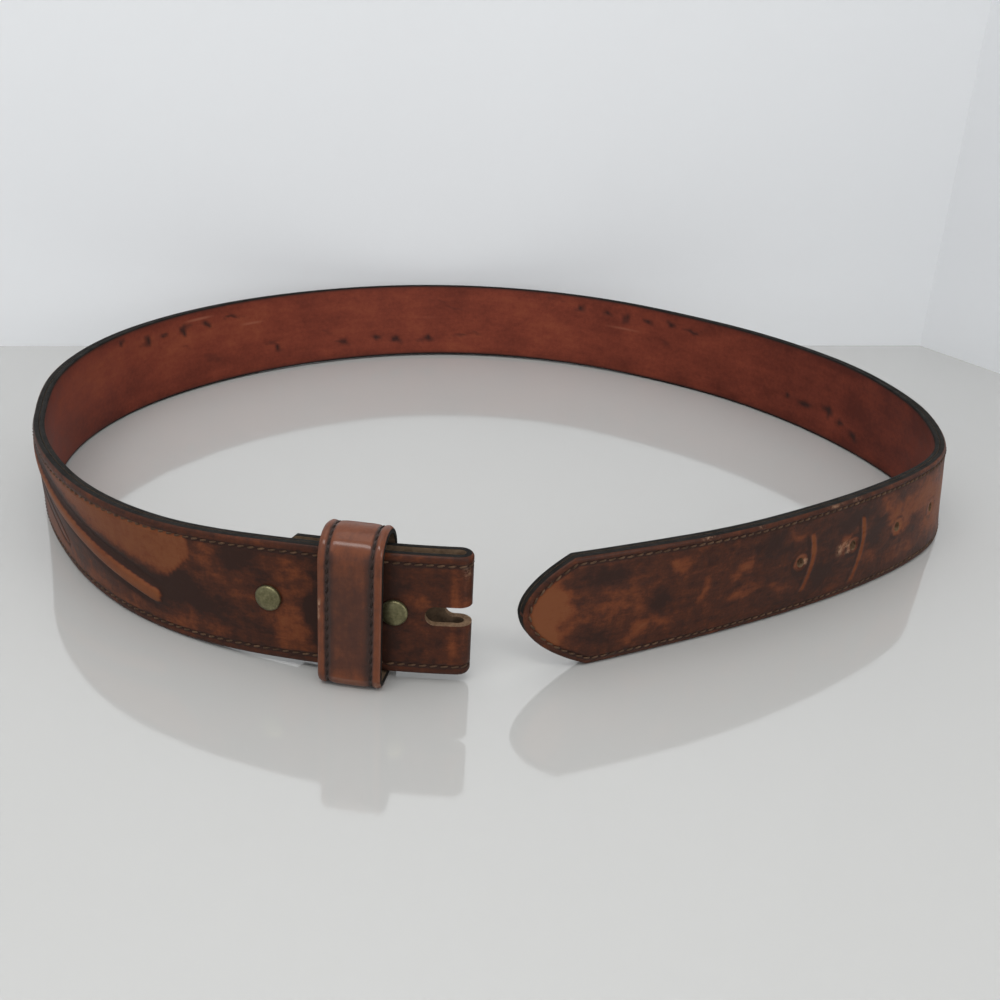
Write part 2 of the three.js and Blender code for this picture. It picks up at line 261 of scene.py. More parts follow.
def agedBrass():
    material, tree, shader = newMaterial("agedBrass")
    place = readPlace(tree)
    patina = addNoise(tree, place, 700, 5, 0.65)
    scratches = addNoise(tree, place, 2500, 3, 0.6, (1, 0.2, 1))
    colour = addRamp(tree, patina, (
        (0.3, (0.08, 0.072, 0.035)), (0.6, (0.17, 0.155, 0.08)), (0.8, (0.28, 0.25, 0.14))))
    fill(tree, shader, {
        "Base Color": colour, "Metallic": 0.85, "Roughness": addRange(tree, patina, 0.44, 0.3),
        "Normal": addBump(tree, scratches, 0.00005, 0.4),
    })
    return material


faceLeather = mottledLeather("faceLeather", 0.5, 0.05, 1.0, 0.14, 0.27)
keeperLeather = mottledLeather("keeperLeather", 0.42, 0.03, 0.6, 0.56, 0.17)
lining = liningLeather()
# dark tone, light tone, roughness, scale of the drift, specular
plainLooks = {
    "edgePaint": ((0.006, 0.0055, 0.0048), (0.017, 0.015, 0.013), 0.7, 180, 0.08),
    "fleshSide": ((0.060, 0.038, 0.023), (0.15, 0.098, 0.060), 0.85, 350, 0.15),
    "rawLeather": ((0.085, 0.048, 0.026), (0.25, 0.16, 0.095), 0.85, 900, 0.15),
    "thread": ((0.028, 0.016, 0.010), (0.115, 0.064, 0.037), 0.6, 260, 0.1),
    "keeperThread": ((0.012, 0.009, 0.008), (0.040, 0.026, 0.020), 0.6, 300, 0.1),
}
edgePaint, fleshSide, rawLeather, threadLook, keeperThread = (
    plainLeather(name, *looks) for name, looks in plainLooks.items())
brass = agedBrass()
print("materials made")


# The strap's way round

strap = {
    "length": 1056, "width": 38,
    "face": 2.3, "lining": 1.7, "joint": 0.04,   # thickness of both leathers, half the joint between them
    "outerRound": 1.0, "innerRound": 0.12,        # rubbed edges of the face leather, and those at the joint
    "liningRound": 0.6,
    "eye": 3.45, "foldWall": 2.2,                 # clear space inside the fold, and the leather round it
    "liningStart": 30, "easing": 14,
}
# how far it has turned clockwise, its outward lean and the height of its lower edge
routeColumns = ("at", "turn", "lean", "lift")
routeRows = (
    (0, -11.3, 0, 2.7), (20, -5.4, -0.5, 2.6), (40, 1.6, -0.5, 2.6), (62, 9.5, 0.5, 1.6),
    (80, 15.1, 2.4, 0.4), (100, 23.2, 4.2, 0), (140, 41.9, 6.5, 0), (180, 50.9, 5.1, 0),
    (220, 62.2, -1.9, 0), (270, 83.3, -1.9, 0), (330, 106, 1.9, 0), (400, 126.6, 6.7, 0),
    (470, 146.4, 9.7, 0), (540, 174.4, 9.3, 0), (600, 196.4, 5.9, 0), (650, 208.4, 0.2, 0),
    (700, 224, 0.5, 0), (750, 236.4, 0.9, 0), (795, 248.6, -5.9, 0), (835, 271.8, -9.1, 0),
    (875, 305.6, -1.6, 0), (925, 315.4, 2.2, 0), (985, 322.4, 6.3, 0), (1065, 327.2, 1.1, 0),
)
route = dict(zip(routeColumns, np.array(routeRows, float).T))
# places across the strap, outwards from the joint between its leathers
faceMiddle = 1.25
faceFront = 2.35
liningBack = -1.75


def eased(column, at):
    # the route's corners are eased over a stretch to both sides
    places = [at + step * strap["easing"] for step in (-1, -0.5, 0, 0.5, 1)]
    return sum(np.interp(place, route["at"], route[column]) for place in places) / len(places)


planAt = np.arange(0, strap["length"] + 1.0)
planHeading = np.pi - np.radians(eased("turn", planAt[:-1] + 0.5))
planX = np.concatenate([[0], np.cumsum(np.cos(planHeading))])
planY = np.concatenate([[0], np.cumsum(np.sin(planHeading))])


def leanedPoint(at, out, height):
    # millimetres, before the plan is moved to its place
    at, out, height = np.broadcast_arrays(np.asarray(at, float), out, height)
    heading = np.pi - np.radians(eased("turn", at))
    lean = np.radians(eased("lean", at))
    slope = (eased("lift", at + 1) - eased("lift", at - 1)) / 2
    lowest = np.maximum(np.sin(lean) * faceFront, np.sin(lean) * liningBack)
    alongX, alongY = np.cos(heading), np.sin(heading)
    aside = out * np.cos(lean) + height * np.sin(lean)
    x = np.interp(at, planAt, planX) - alongY * aside - alongX * slope * height
    y = np.interp(at, planAt, planY) + alongX * aside - alongY * slope * height
    z = eased("lift", at) + lowest - out * np.sin(lean) + height * np.cos(lean)
    return np.stack([x, y, z], -1)


# the plan is moved so that the face leather fills its box
outerEdges = np.stack([leanedPoint(planAt, faceFront, side) for side in (0, strap["width"])])
faceLow, faceHigh = (np.array(corner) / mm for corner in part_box("strap_face"))
shift = (faceLow + faceHigh) / 2 - (outerEdges.min(axis=(0, 1)) + outerEdges.max(axis=(0, 1))) / 2
shift[2] = 0


def strapPoint(at, out, height):
    return (leanedPoint(at, out, height) + shift) * mm


foldRadius = (strap["eye"] + strap["foldWall"]) / 2
foldCentreAt = foldRadius + strap["foldWall"] / 2
foldCentreOut = faceMiddle - foldRadius
bendLength = math.pi * foldCentreAt   # round the outside of the fold


def bandFrame(run):
    # middle of the face leather at a run counted round the fold: below foldCentreAt it bends, and behind
    # the bend it is the tab
    run = np.asarray(run, float)
    angle = np.clip((foldCentreAt - run) / foldCentreAt, 0, np.pi)
    behind = np.clip(foldCentreAt - bendLength - run, 0, None)
    straight = np.clip(run - foldCentreAt, 0, None)
    at = foldCentreAt - foldRadius * np.sin(angle) + behind + straight
    out = foldCentreOut + foldRadius * np.cos(angle)
    return at, out, -np.sin(angle), np.cos(angle)


def bandPoint(run, side, height):
    at, out, sideAlong, sideOut = bandFrame(run)
    return strapPoint(at + sideAlong * side, out + sideOut * side, height)


# Outline of the tip: two parabolas that meet at the nose
tip = {"nose": 21.5, "upperShoulder": 15.3, "lowerShoulder": 22.9, "length": 24}
tipStart = strap["length"] - tip["length"]


def tipOutline(at):
    fromTip = np.clip(strap["length"] - np.asarray(at, float), 0, None)
    upper = np.sqrt(np.minimum(fromTip / tip["upperShoulder"], 1))
    lower = np.sqrt(np.minimum(fromTip / tip["lowerShoulder"], 1))
    return tip["nose"] * (1 - lower), tip["nose"] + (strap["width"] - tip["nose"]) * upper


def outlinePath():
    # the whole edge from the lower end round the nose to the upper end, as (run, height)
    near = tip["length"] * np.linspace(0, 1, 120) ** 2
    at = strap["length"] - near
    low, high = tipOutline(at)
    lower = np.stack([at[::-1], low[::-1]], 1)
    upper = np.stack([at[1:], high[1:]], 1)
    ends = ([[-50, 0]], [[-50, strap["width"]]])
    return np.concatenate([ends[0], lower, upper, ends[1]])


edgePath = outlinePath()


def edgeDistance(run, height):
    # distance from the strap's outline, on the flat
    run, height = np.broadcast_arrays(run, height)
    distance = np.minimum(height, strap["width"] - height)
    nearTip = run > tipStart - 8
    spots = np.stack([run[nearTip], height[nearTip]], 1)
    if len(spots):
        start, end = edgePath[:-1], edgePath[1:]
        way = end - start
        share = ((spots[:, None] - start) * way).sum(2) / (way ** 2).sum(1)
        nearest = start + np.clip(share, 0, 1)[..., None] * way
        distance = distance.copy()
        distance[nearTip] = np.linalg.norm(spots[:, None] - nearest, axis=2).min(1)
    return distance


# Marks pressed and worn into the face
finger = {"width": 5.8, "height": 1.0, "start": 97.4, "end": 196}
fingerRows = np.array([
    (96.2, 11.8, 1), (101, 12.8, 1), (116, 16.2, 1), (132, 19.6, 1), (150, 23.4, 0.9), (170, 28, 0.7),
    (188, 32.2, 0.35), (196, 34, 0.1)])   # at, height of its middle, share of its width
secondFinger = np.array([(151, 9.5, 0.45), (158, 12.0, 1), (166, 15.4, 1), (180, 20, 0.8), (200, 26, 0.5)])
stitching = {
    "insetStart": 2.85, "insetEnd": 2.1, "pitch": 3.1, "length": 2.35, "width": 0.75, "height": 0.34,
    "slant": 0.22, "reach": 1,
}
holes = {
    "count": 5, "fromTip": 103, "spacing": 26.5, "height": 19.3,
    "long": 2.2, "wide": 1.5, "turns": (38, 31), "depth": 14,
}
holePlaces = [strap["length"] - holes["fromTip"] - holes["spacing"] * k for k in range(holes["count"])]


def stitchInset(run):
    # the row lies closer to the edge at the tip than at the fold
    return np.interp(run, (300, 800), (stitching["insetStart"], stitching["insetEnd"]))


# bends where a buckle's edge has cracked the finish: place at mid height, bow, lowest and highest end
crescents = ((947.6, 3.0, 6.5, 29.5), (921.4, 3.4, 3.8, 30.0))
slotCut = {
    "length": 13.3, "tabLength": 8, "width": 6, "height": 19.3, "past": 4,
    "faceDepths": (-0.6, 12), "tabDepths": (-12, -0.4),
}
snapPlaces = {"1": (57.6, 20.0), "2": (21.9, 19.8)}
snapHole = {"radius": 1.8, "depth": 16, "side": -3}


def crescentOffset(run, height, row):
    middle, bow, low, high = row
    share = (height - (low + high) / 2) / ((high - low) / 2)
    inside = smooth(1.05, 0.85, np.abs(share)) * (0.72 + 0.28 * share)
    return run - (middle + bow * share ** 2), inside


def fingerShare(run, height, rows):
    # distance from a finger's middle line in half widths, round at its start, and the distance across it
    middle = np.interp(run, rows[:, 0], rows[:, 1])
    width = np.maximum(np.interp(run, rows[:, 0], rows[:, 2]) * finger["width"] / 2, 0.2)
    slopes = np.gradient(rows[:, 1], rows[:, 0])
    slope = np.interp(run, rows[:, 0], slopes)
    across = (height - middle) / np.sqrt(1 + slope ** 2)
    along = (run - rows[0, 0] + (height - rows[0, 1]) * slopes[0]) / math.hypot(1, slopes[0])
    startGap = np.clip(width - along, 0, None)
    return (np.abs(across) ** 2.6 + startGap ** 2.6) ** (1 / 2.6) / width, across


def afterStart(run, before, after):
    # fades in round the finger's start
    return smooth(finger["start"] - before, finger["start"] + after, run)


def faceRelief(run, height):
    run, height = np.broadcast_arrays(np.asarray(run, float), height)
    distance = edgeDistance(run, height)
    relief = -0.3 * bell(distance - stitchInset(run), 0.5)
    relief -= 0.12 * smooth(1.6, 0.5, distance)
    share, across = fingerShare(run, height, fingerRows)
    along = smooth(finger["end"] + 4, finger["end"] - 25, run)
    body = np.clip(1 - share ** 4, 0, 1)
    relief += finger["height"] * body * along
    ditch = bell(across - 4.4, 1.3) * afterStart(run, 6, 6)
    relief -= 0.45 * ditch * smooth(215, 190, run)
    relief -= 0.25 * bell(across + 3.6, 1.0) * afterStart(run, 3, 9) * along
    secondShare, _ = fingerShare(run, height, secondFinger)
    relief -= 0.55 * bell(secondShare - 1, 0.22) * smooth(205, 190, run)
    for row in crescents:
        gap, inside = crescentOffset(run, height, row)
        banks = 0.2 * bell(gap + 0.9, 0.7) + 0.12 * bell(gap - 1.0, 0.7)
        relief += inside * (banks - 0.38 * bell(gap, 0.45))
    for place in holePlaces:
        away = np.hypot(run - place, height - holes["height"])
        relief += 0.10 * bell(away - 3.6, 0.9) - 0.3 * bell(away, 2.6)
    for place, middle in snapPlaces.values():
        relief -= 0.15 * bell(np.hypot(run - place, height - middle) - 4.3, 0.8)
    # handling: shallow swells
    relief += 0.07 * np.sin(run / 7.3 + height / 9.1) * np.sin(run / 17.7 - height / 5.3)
    return relief


# Tan, grime and scuffs on the face: at, height, half length, half height, amount
tanPatches = (
    (2, 27, 3, 14, 0.16), (2, 9, 3, 10, 0.12), (52, 12, 6, 9, 0.52), (48, 27, 7, 7, 0.26),
    (55, 30, 6, 4, 0.18), (77, 29, 7, 7, 0.30), (84, 6, 14, 5, 0.25), (68, 20, 5, 8, 0.15),
    (112, 5, 22, 5, 0.26), (140, 5, 20, 5, 0.25), (170, 8, 22, 8, 0.44), (9, 9, 7, 9, 0.08),
    (10, 30, 9, 5, 0.06), (5, 22, 5, 4, 0.20), (15, 23.6, 4, 2, 0.24), (14, 15, 5, 3, 0.12),
    (20, 10, 3, 4, 0.12),
    (1049, 21, 7, 15, 0.85), (1043, 16, 6, 9, 0.24), (1003, 30, 3.5, 3, 0.46), (979, 24, 3.5, 4.5, 0.50),
    (993, 18, 2.2, 6, 0.42), (1017, 9, 4, 3, 0.40), (1024, 20, 12, 8, 0.22), (1008, 10, 5, 3, 0.28),
    (977, 14, 7, 2.5, 0.36), (958, 31, 4, 2, 0.34), (961, 13, 4, 3, 0.22), (953, 20, 4.5, 3, 0.40),
    (931, 20, 5, 4, 0.45), (900, 22, 9, 8, 0.56), (909, 31, 6, 3.5, 0.45), (884, 28, 10, 8, 0.52),
    (868, 20, 14, 14, 0.60), (845, 19, 16, 16, 0.52), (915, 12, 6, 5, 0.30), (892, 9, 12, 5, 0.25),
)
grimePatches = (
    (66, 32, 7, 5, 0.25), (88, 17, 9, 6, 0.45), (97, 21, 6, 5, 0.28), (80, 13, 10, 5, 0.25),
    (43.5, 18, 2.4, 17, 0.40), (25, 20, 6, 16, 0.20), (1010, 19, 4, 5, 0.25), (1030, 31, 10, 4, 0.22),
    (1031, 9, 8, 4, 0.15), (928, 30, 8, 5, 0.30), (941, 12, 7, 8, 0.22), (968, 30, 7, 5, 0.22),
    (913, 22, 4, 8, 0.15),
)
scuffPatches = (
    (951.3, 19.2, 1.3, 1.6, 0.6), (931.5, 20.6, 3.6, 1.7, 0.58), (933.8, 18.7, 1.6, 1.5, 0.6),
    (927.9, 17.4, 2.2, 1.1, 0.55), (898.4, 19.0, 1.2, 1.2, 0.35), (995, 37.6, 3.0, 0.7, 0.60),
    (975, 37.6, 1.0, 0.7, 0.55), (941, 37.6, 4, 0.7, 0.35), (930, 37.4, 2.5, 0.8, 0.35),
    (1.5, 33.5, 1.5, 2.2, 0.25),
)


def wobble(run, height):
    # moves a place by a millimetre or two, so that a patch's outline is uneven
    along = 1.4 * np.sin(height / 3.1 + 2.3 * np.sin(run / 5.3 + 1))
    across = 1.3 * np.sin(run / 3.7 + 1.8 * np.sin(height / 4.3))
    along = along + 0.7 * np.sin(height / 1.13 + run / 2.7)
    across = across + 0.6 * np.sin(run / 1.27 - height / 1.9)
    return run + along, height + across


def patchSum(run, height, patches):
    total = np.zeros(np.broadcast(run, height).shape)
    for at, middle, halfLength, halfHeight, amount in patches:
        away = np.hypot((run - at) / halfLength, (height - middle) / halfHeight)
        total = total + amount * smooth(1.45, 0.2, away)
    return total


def wearAndSheenColours(*shares):
    return np.stack([np.clip(share, 0, 1) for share in shares], -1)


def faceWearAndSheen(run, height):
    uneven = wobble(run, height)
    tan = 0.15 + 0.09 * smooth(960, 1000, run) + 1.08 * patchSum(*uneven, tanPatches)
    grime = patchSum(*uneven, grimePatches)
    scuffs = patchSum(run, height, scuffPatches)
    distance = edgeDistance(run, height)
    inset = stitchInset(run)
    margin = smooth(inset - 0.1, inset - 0.8, distance)
    tan = tan * (1 - margin) + 0.24 * margin
    grime = grime * (1 - margin) + 0.75 * bell(distance - inset, 0.5)
    share, across = fingerShare(run, height, fingerRows)
    fieldEnd = 83 + np.clip(29 - height, 0, 20) * 0.9
    # the plain tan ground above the finger
    field = smooth(fieldEnd - 1, fieldEnd + 1.8, 0.4 * uneven[0] + 0.6 * run)
    field = field * smooth(4.4, 12, across) * (1 - margin) * smooth(330, 250, run)
    tan = np.maximum(tan, 0.86 * field)
    strip = smooth(1.05, 0.8, share) * smooth(204, 190, run)
    ditch = smooth(6.8, 4.2, np.abs(across - 0.6)) * afterStart(run, 7, 4)
    ditch = ditch * smooth(230, 190, run) * (1 - strip)
    grime = grime * (1 - strip) * (1 - field) + 0.5 * ditch
    line = bell(across - 3.4, 0.55) * afterStart(run, 3, 2) * smooth(230, 190, run)
    grime = grime + 0.9 * line * (1 - strip)
    tan = np.maximum(tan * (1 - strip), 0.88 * strip)
    secondShare, _ = fingerShare(run, height, secondFinger)
    grime = grime + bell(secondShare - 1, 0.22) * smooth(210, 195, run)
    # a painted highlight down the line where the leather starts to turn into the fold, with a little rubbed
    # tone in it
    tan = tan + 0.26 * bell(run - 5.4, 1.1) * (1 - margin)
    for place in holePlaces:
        away = np.hypot(run - place, height - holes["height"])
        grime = grime + 0.4 * bell(away - 3.9, 0.7)
        tan = tan + 0.2 * smooth(3.6, 3.0, away)
    for row in crescents:
        gap, inside = crescentOffset(run, height, row)
        crack = inside * bell(gap + 0.4, 1.15)
        tan = tan + 0.95 * crack
        grime = grime * (1 - crack) + 0.3 * inside * bell(gap - 1.7, 0.8)
    # round the back the finish is even, with soft cloudy rubbing
    back = smooth(200, 300, run) * smooth(880, 800, run)
    tan = tan + back * (0.26 + 0.12 * np.sin(run / 31) * np.sin(height / 11 + run / 53))
    return wearAndSheenColours(tan, grime, scuffs)


# Meshes made of rings

def ringPiece(name, points, places, slots, materials, loop=False):
    # points and places are (ring, point); slots holds one material number for each point's face
    rings, count = points.shape[:2]
    first = np.arange(rings - (0 if loop else 1))[:, None] * count + np.arange(count)
    step = (np.arange(count) + 1) % count - np.arange(count)
    total = rings * count
    quads = np.stack([first, first + step, (first + step + count) % total, (first + count) % total], -1)
    faces = quads.reshape(-1, 4).tolist()
    faceSlots = np.tile(slots, len(first)).tolist()
    if not loop:
        faces += [list(range(count))[::-1], list(range((rings - 1) * count, total))]
        faceSlots += [slots[-1], slots[-1]]
    mesh = bpy.data.meshes.new(name)
    mesh.from_pydata(points.reshape(-1, 3).tolist(), [], faces)
    flat = places.reshape(-1, 2)
    corners = np.zeros(len(mesh.loops), np.int32)
    mesh.loops.foreach_get("vertex_index", corners)
    cornerPlaces = flat[corners] * mm
    if loop:
        # the last band runs on to the full length instead of back to nought
        band = np.repeat(np.arange(len(first) * count) // count, 4)
        wrapped = (band == rings - 1) & (corners < count)
        length = places[-1, 0, 0] + np.linalg.norm(points[-1, 0] - points[0, 0]) / mm
        cornerPlaces[wrapped, 0] = length * mm
    layer = mesh.uv_layers.new(name="place")
    layer.data.foreach_set("uv", cornerPlaces.astype(np.float32).ravel())
    for material in materials:
        mesh.materials.append(material)
    mesh.polygons.foreach_set("material_index", faceSlots)
    return newPiece(name, mesh)


def paintWearAndSheen(piece, wearAndSheenAt):
    # reads each corner's place on the leather and keeps the colours that the given function paints there
    mesh = piece.data
    layer = mesh.uv_layers["place"]
    places = np.zeros(len(mesh.loops) * 2, np.float32)
    layer.data.foreach_get("uv", places)
    run, height = places.reshape(-1, 2).T / mm
    colours = np.ones((len(run), 4), np.float32)
    colours[:, :3] = wearAndSheenAt(run.astype(float), height.astype(float))
    wearAndSheen = mesh.attributes.new("wearAndSheen", "FLOAT_COLOR", "CORNER")
    wearAndSheen.data.foreach_set("color", colours.ravel())


def layerRing(low, high, half, frontHeights, backCount, frontEdge, backEdge):
    # section of a leather layer, its front edges rounded more than its back ones: side and height of
    # each point, and the part that the face after it belongs to: 0 front, 1 edge, 2 back
    span = (high - low)[:, None]
    low, high = low[:, None], high[:, None]
    frontEdge = np.minimum(frontEdge, span / 4)
    backEdge = np.minimum(backEdge, span / 4)
    rise = np.radians([18, 36, 54, 72, 90])
    fall = np.radians([90, 60, 30])
    shares = (frontHeights - frontHeights[0]) / (frontHeights[-1] - frontHeights[0])
    backShares = np.linspace(1, 0, backCount)
    frontIn, frontUp = frontEdge * (1 - np.cos(rise)), frontEdge * (1 - np.sin(rise))
    backIn, backUp = backEdge * (1 - np.cos(fall)), backEdge * (1 - np.sin(fall))
    front = low + frontEdge + (span - 2 * frontEdge) * shares
    back = low + backEdge + (span - 2 * backEdge) * backShares
    sides = [half * np.ones_like(front), half - frontIn, backIn - half, -half * np.ones_like(back),
             (backIn - half)[:, ::-1], (half - frontIn)[:, ::-1]]
    heights = [front, high - frontUp, high - backUp, back, (low + backUp)[:, ::-1], (low + frontUp)[:, ::-1]]
    edgeCount = len(fall) + 2
    parts = np.repeat([0, 1, 2, 1, 0], [len(shares) + 3, edgeCount, backCount - 1, edgeCount, 4])
    return np.concatenate(sides, 1), np.concatenate(heights, 1), parts


def fineHeights():
    near = np.array([1.0, 1.5, 2.0, 2.35, 2.65, 3.0, 3.35, 3.65, 4.1])
    middle = np.linspace(4.7, strap["width"] - 4.7, 47)
    return np.concatenate([near, middle, strap["width"] - near[::-1]])


def stretches(rows):
    # runs from each row's start to the next one's, at that row's step
    runs = []
    for (start, step), (end, _) in zip(rows[:-1], rows[1:]):
        count = max(1, round((end - start) / step))
        runs.append(start + (end - start) * np.arange(count) / count)
    return np.concatenate(runs)


tipRuns = strap["length"] - tip["length"] * (np.arange(44, 0, -1) / 44) ** 2
print("route laid out")


# Face leather, from the tab round the fold to the tip
tab = {"shoulder": 51, "end": 66, "endLow": 13, "endHigh": 25}
tabStart = foldCentreAt - bendLength - (tab["shoulder"] - foldCentreAt)
tabEnd = tabStart - (tab["end"] - tab["shoulder"])


def makeStrapFace():
    runs = stretches((
        (tabEnd, 2.5), (tabStart, 3), (foldCentreAt - bendLength, 0.6), (foldCentreAt, 0.9), (20, 1.4),
        (95, 0.7), (108, 0.9), (210, 1.7), (850, 1.5), (915, 0.6), (958, 1.2), (tipStart, 1)))
    runs = np.concatenate([runs, tipRuns])
    low, high = tipOutline(runs)
    taper = np.clip((tabStart - runs) / (tabStart - tabEnd), 0, 1)
    low = low + taper * tab["endLow"]
    high = high - taper * (strap["width"] - tab["endHigh"])
    half = strap["face"] / 2
    side, height, parts = layerRing(
        low, high, half, fineHeights(), 12, strap["outerRound"], strap["innerRound"])
    grid = np.broadcast_to(runs[:, None], height.shape)
    relief = faceRelief(grid, height) * smooth(half - 0.6, half - 0.1, side)
    points = bandPoint(grid, side + relief, height)
    return ringPiece("strapFace", points, np.stack([grid, height], -1), parts,
                     (faceLeather, edgePaint, fleshSide, rawLeather))


def makeStrapLining():
    runs = np.concatenate([stretches(((strap["liningStart"], 2), (tipStart, 1))), tipRuns])
    low, high = tipOutline(runs)
    side, height, parts = layerRing(
        low, high, strap["lining"] / 2, np.linspace(0, 1, 8), 40, strap["innerRound"], strap["liningRound"])
    grid = np.broadcast_to(runs[:, None], height.shape)
    middle = -strap["joint"] - strap["lining"] / 2
    dents = -0.25 * patchSum(grid, height, liningNicks) * smooth(-0.6, -0.84, side)
    points = strapPoint(grid, middle + side - dents, height)
    # the small rounds at the joint are painted as well
    parts[7:10] = 1
    parts[-4:] = 1
    slots = np.array([2, 1, 0])[parts]
    return ringPiece("strapLining", points, np.stack([grid, height], -1), slots,
                     (lining, edgePaint, fleshSide, rawLeather))


# small cuts in the lining, in rows of a few: at, height, half length, half height, depth
liningNicks = tuple(
    (at, height, 2.6, 1.9, 1.0) for at, height in (
        (312, 33), (330, 31), (342, 30), (357, 30), (370, 31), (412, 10), (452, 8.5), (470, 11),
        (482, 8.5), (498, 7.8), (585.5, 32), (598.5, 31), (611.5, 30), (625, 30.5), (638, 30.5),
        (714, 12.2), (726, 13), (740.5, 13), (751.5, 11.5), (761, 7.5))
) + (
    (388, 30.5, 6, 0.9, 0.9), (521, 11, 7, 0.9, 0.6), (652, 31.5, 6, 1, 0.9), (514, 26, 5, 0.7, 0.4),
    (440, 15, 5, 0.6, 0.35), (355, 22, 3, 0.8, 0.35), (449, 11, 3, 0.8, 0.6), (408, 14, 4, 1.2, 0.5),
    (372, 13, 5, 1.6, 0.35), (505, 29, 6, 0.7, 0.3), (570, 34, 4, 1, 0.4), (637, 22, 3, 1.6, 0.4),
)
# darker and redder places on the lining, and rubbed lighter ones
liningClouds = (
    (330, 28, 80, 14, 0.12), (310, 6, 60, 9, -0.14), (430, 22, 70, 18, 0.08), (560, 16, 60, 20, 0.10))
liningScuffs = (
    (366, 33.5, 8, 0.5, 0.5), (398, 26, 6, 0.5, 0.35), (610, 24, 9, 0.5, 0.3), (500, 20, 8, 0.4, 0.3))


def liningWear(run, height):
    distance = np.minimum(height, strap["width"] - height)
    nicks = patchSum(*wobble(run, height), liningNicks) + 0.9 * smooth(1.7, 1.0, distance)
    tone = 0.42 + patchSum(run, height, liningClouds)
    tone = tone - 0.26 * smooth(560, 800, run) - 0.2 * smooth(290, 180, run)
    tone = tone - 0.12 * smooth(6, 1, distance)
    scuffs = patchSum(run, height, liningScuffs)
    return wearAndSheenColours(nicks, tone, scuffs)


def seatMatrix(run, side, height):
    # X runs towards the fold, Y up the strap and Z outwards
    centre = bandPoint(run, side, height)
    up = Vector(bandPoint(run, side, height + 1) - centre).normalized()
    out = Vector(bandPoint(run, side + 1, height) - centre).normalized()
    towardsFold = up.cross(out).normalized()
    matrix = Matrix((towardsFold, up, out)).transposed().to_4x4()
    matrix.translation = Vector(centre)
    return matrix


def punch(run, height, radiusLong, radiusWide, turn, depth, side=0):
    # an oval cutter through the strap
    bpy.ops.mesh.primitive_cylinder_add(vertices=28, radius=1, depth=1)
    cutter = bpy.context.object
    shape = Matrix.Rotation(math.radians(turn), 4, "Z") @ Matrix.Diagonal(
        (radiusWide * mm, radiusLong * mm, depth * mm, 1))
    cutter.data.transform(seatMatrix(run, side, height) @ shape)
    return cutter


def slotCutter(length, low, high):
    # a cylinder for the round end, drawn out past the fold, between two depths
    half = slotCut["width"] / 2
    bpy.ops.mesh.primitive_cylinder_add(vertices=32, radius=half * mm, depth=(high - low) * mm,
                                        location=(0, 0, (high + low) / 2 * mm))
    cutter = bpy.context.object
    settle(cutter)
    for vertex in cutter.data.vertices:
        if vertex.co.x > 0.01 * mm:
            vertex.co.x = (length + slotCut["past"]) * mm
            vertex.co.y = math.copysign(half * mm, vertex.co.y) if abs(vertex.co.y) > 0.01 * mm else 0
    seat = seatMatrix(slotCut["length"] - half, -foldRadius, slotCut["height"])
    cutter.data.transform(seat @ Matrix.Translation(((slotCut["length"] - length) * mm, 0, 0)))
    return cutter


def joinPieces(pieces):
    bpy.ops.object.select_all(action="DESELECT")
    for piece in pieces:
        piece.select_set(True)
    bpy.context.view_layer.objects.active = pieces[0]
    bpy.ops.object.join()
    return pieces[0]


def cutWith(piece, cutter):
    # the cut takes the cutter's material, the raw leather
    cutter.data.materials.clear()
    cutter.data.materials.append(rawLeather)
    modifier = piece.modifiers.new("cut", "BOOLEAN")
    modifier.object = cutter
    modifier.solver = "EXACT"
    modifier.material_mode = "TRANSFER"
    applyModifiers(piece)


strapFace = makeStrapFace()
strapLining = makeStrapLining()
print("strap's leathers lofted")

cutters = []
for k, place in enumerate(holePlaces):
    turn = holes["turns"][k % 2]
    cutters.append(punch(place, holes["height"], holes["long"], holes["wide"], turn, holes["depth"]))
for place, height in snapPlaces.values():
    radius = snapHole["radius"]
    cutters.append(punch(place, height, radius, radius, 0, snapHole["depth"], snapHole["side"]))
cutters.append(slotCutter(slotCut["length"], *slotCut["faceDepths"]))
strapCutter = joinPieces(cutters)
tabCutter = slotCutter(slotCut["tabLength"], *slotCut["tabDepths"])
cutWith(strapFace, strapCutter)
cutWith(strapFace, tabCutter)
cutWith(strapLining, strapCutter)
for cutter in (strapCutter, tabCutter):
    bpy.data.objects.remove(cutter)
paintWearAndSheen(strapFace, faceWearAndSheen)
paintWearAndSheen(strapLining, liningWear)
print("holes and slot cut", len(strapFace.data.polygons), len(strapLining.data.polygons))


# Stitches

def stitchShape():
    # one stitch lying along X, sunk at both ends: rings of six points
    along = (-1, -0.72, 0, 0.72, 1)
    girth = (0.35, 0.85, 1, 0.85, 0.35)
    rings = []
    for place, size in zip(along, girth):
        for k in range(6):
            angle = math.pi * k / 3
            lift = math.sin(angle) * size - 0.9 * abs(place) ** 3
            rings.append((place * stitching["length"] / 2, math.cos(angle) * size * stitching["width"] / 2,
                          lift * stitching["height"]))
    faces = [(r * 6 + k, r * 6 + (k + 1) % 6, r * 6 + 6 + (k + 1) % 6, r * 6 + 6 + k)
             for r in range(4) for k in range(6)]
    faces += [tuple(range(5, -1, -1)), tuple(range(24, 30))]
    return np.array(rings), faces


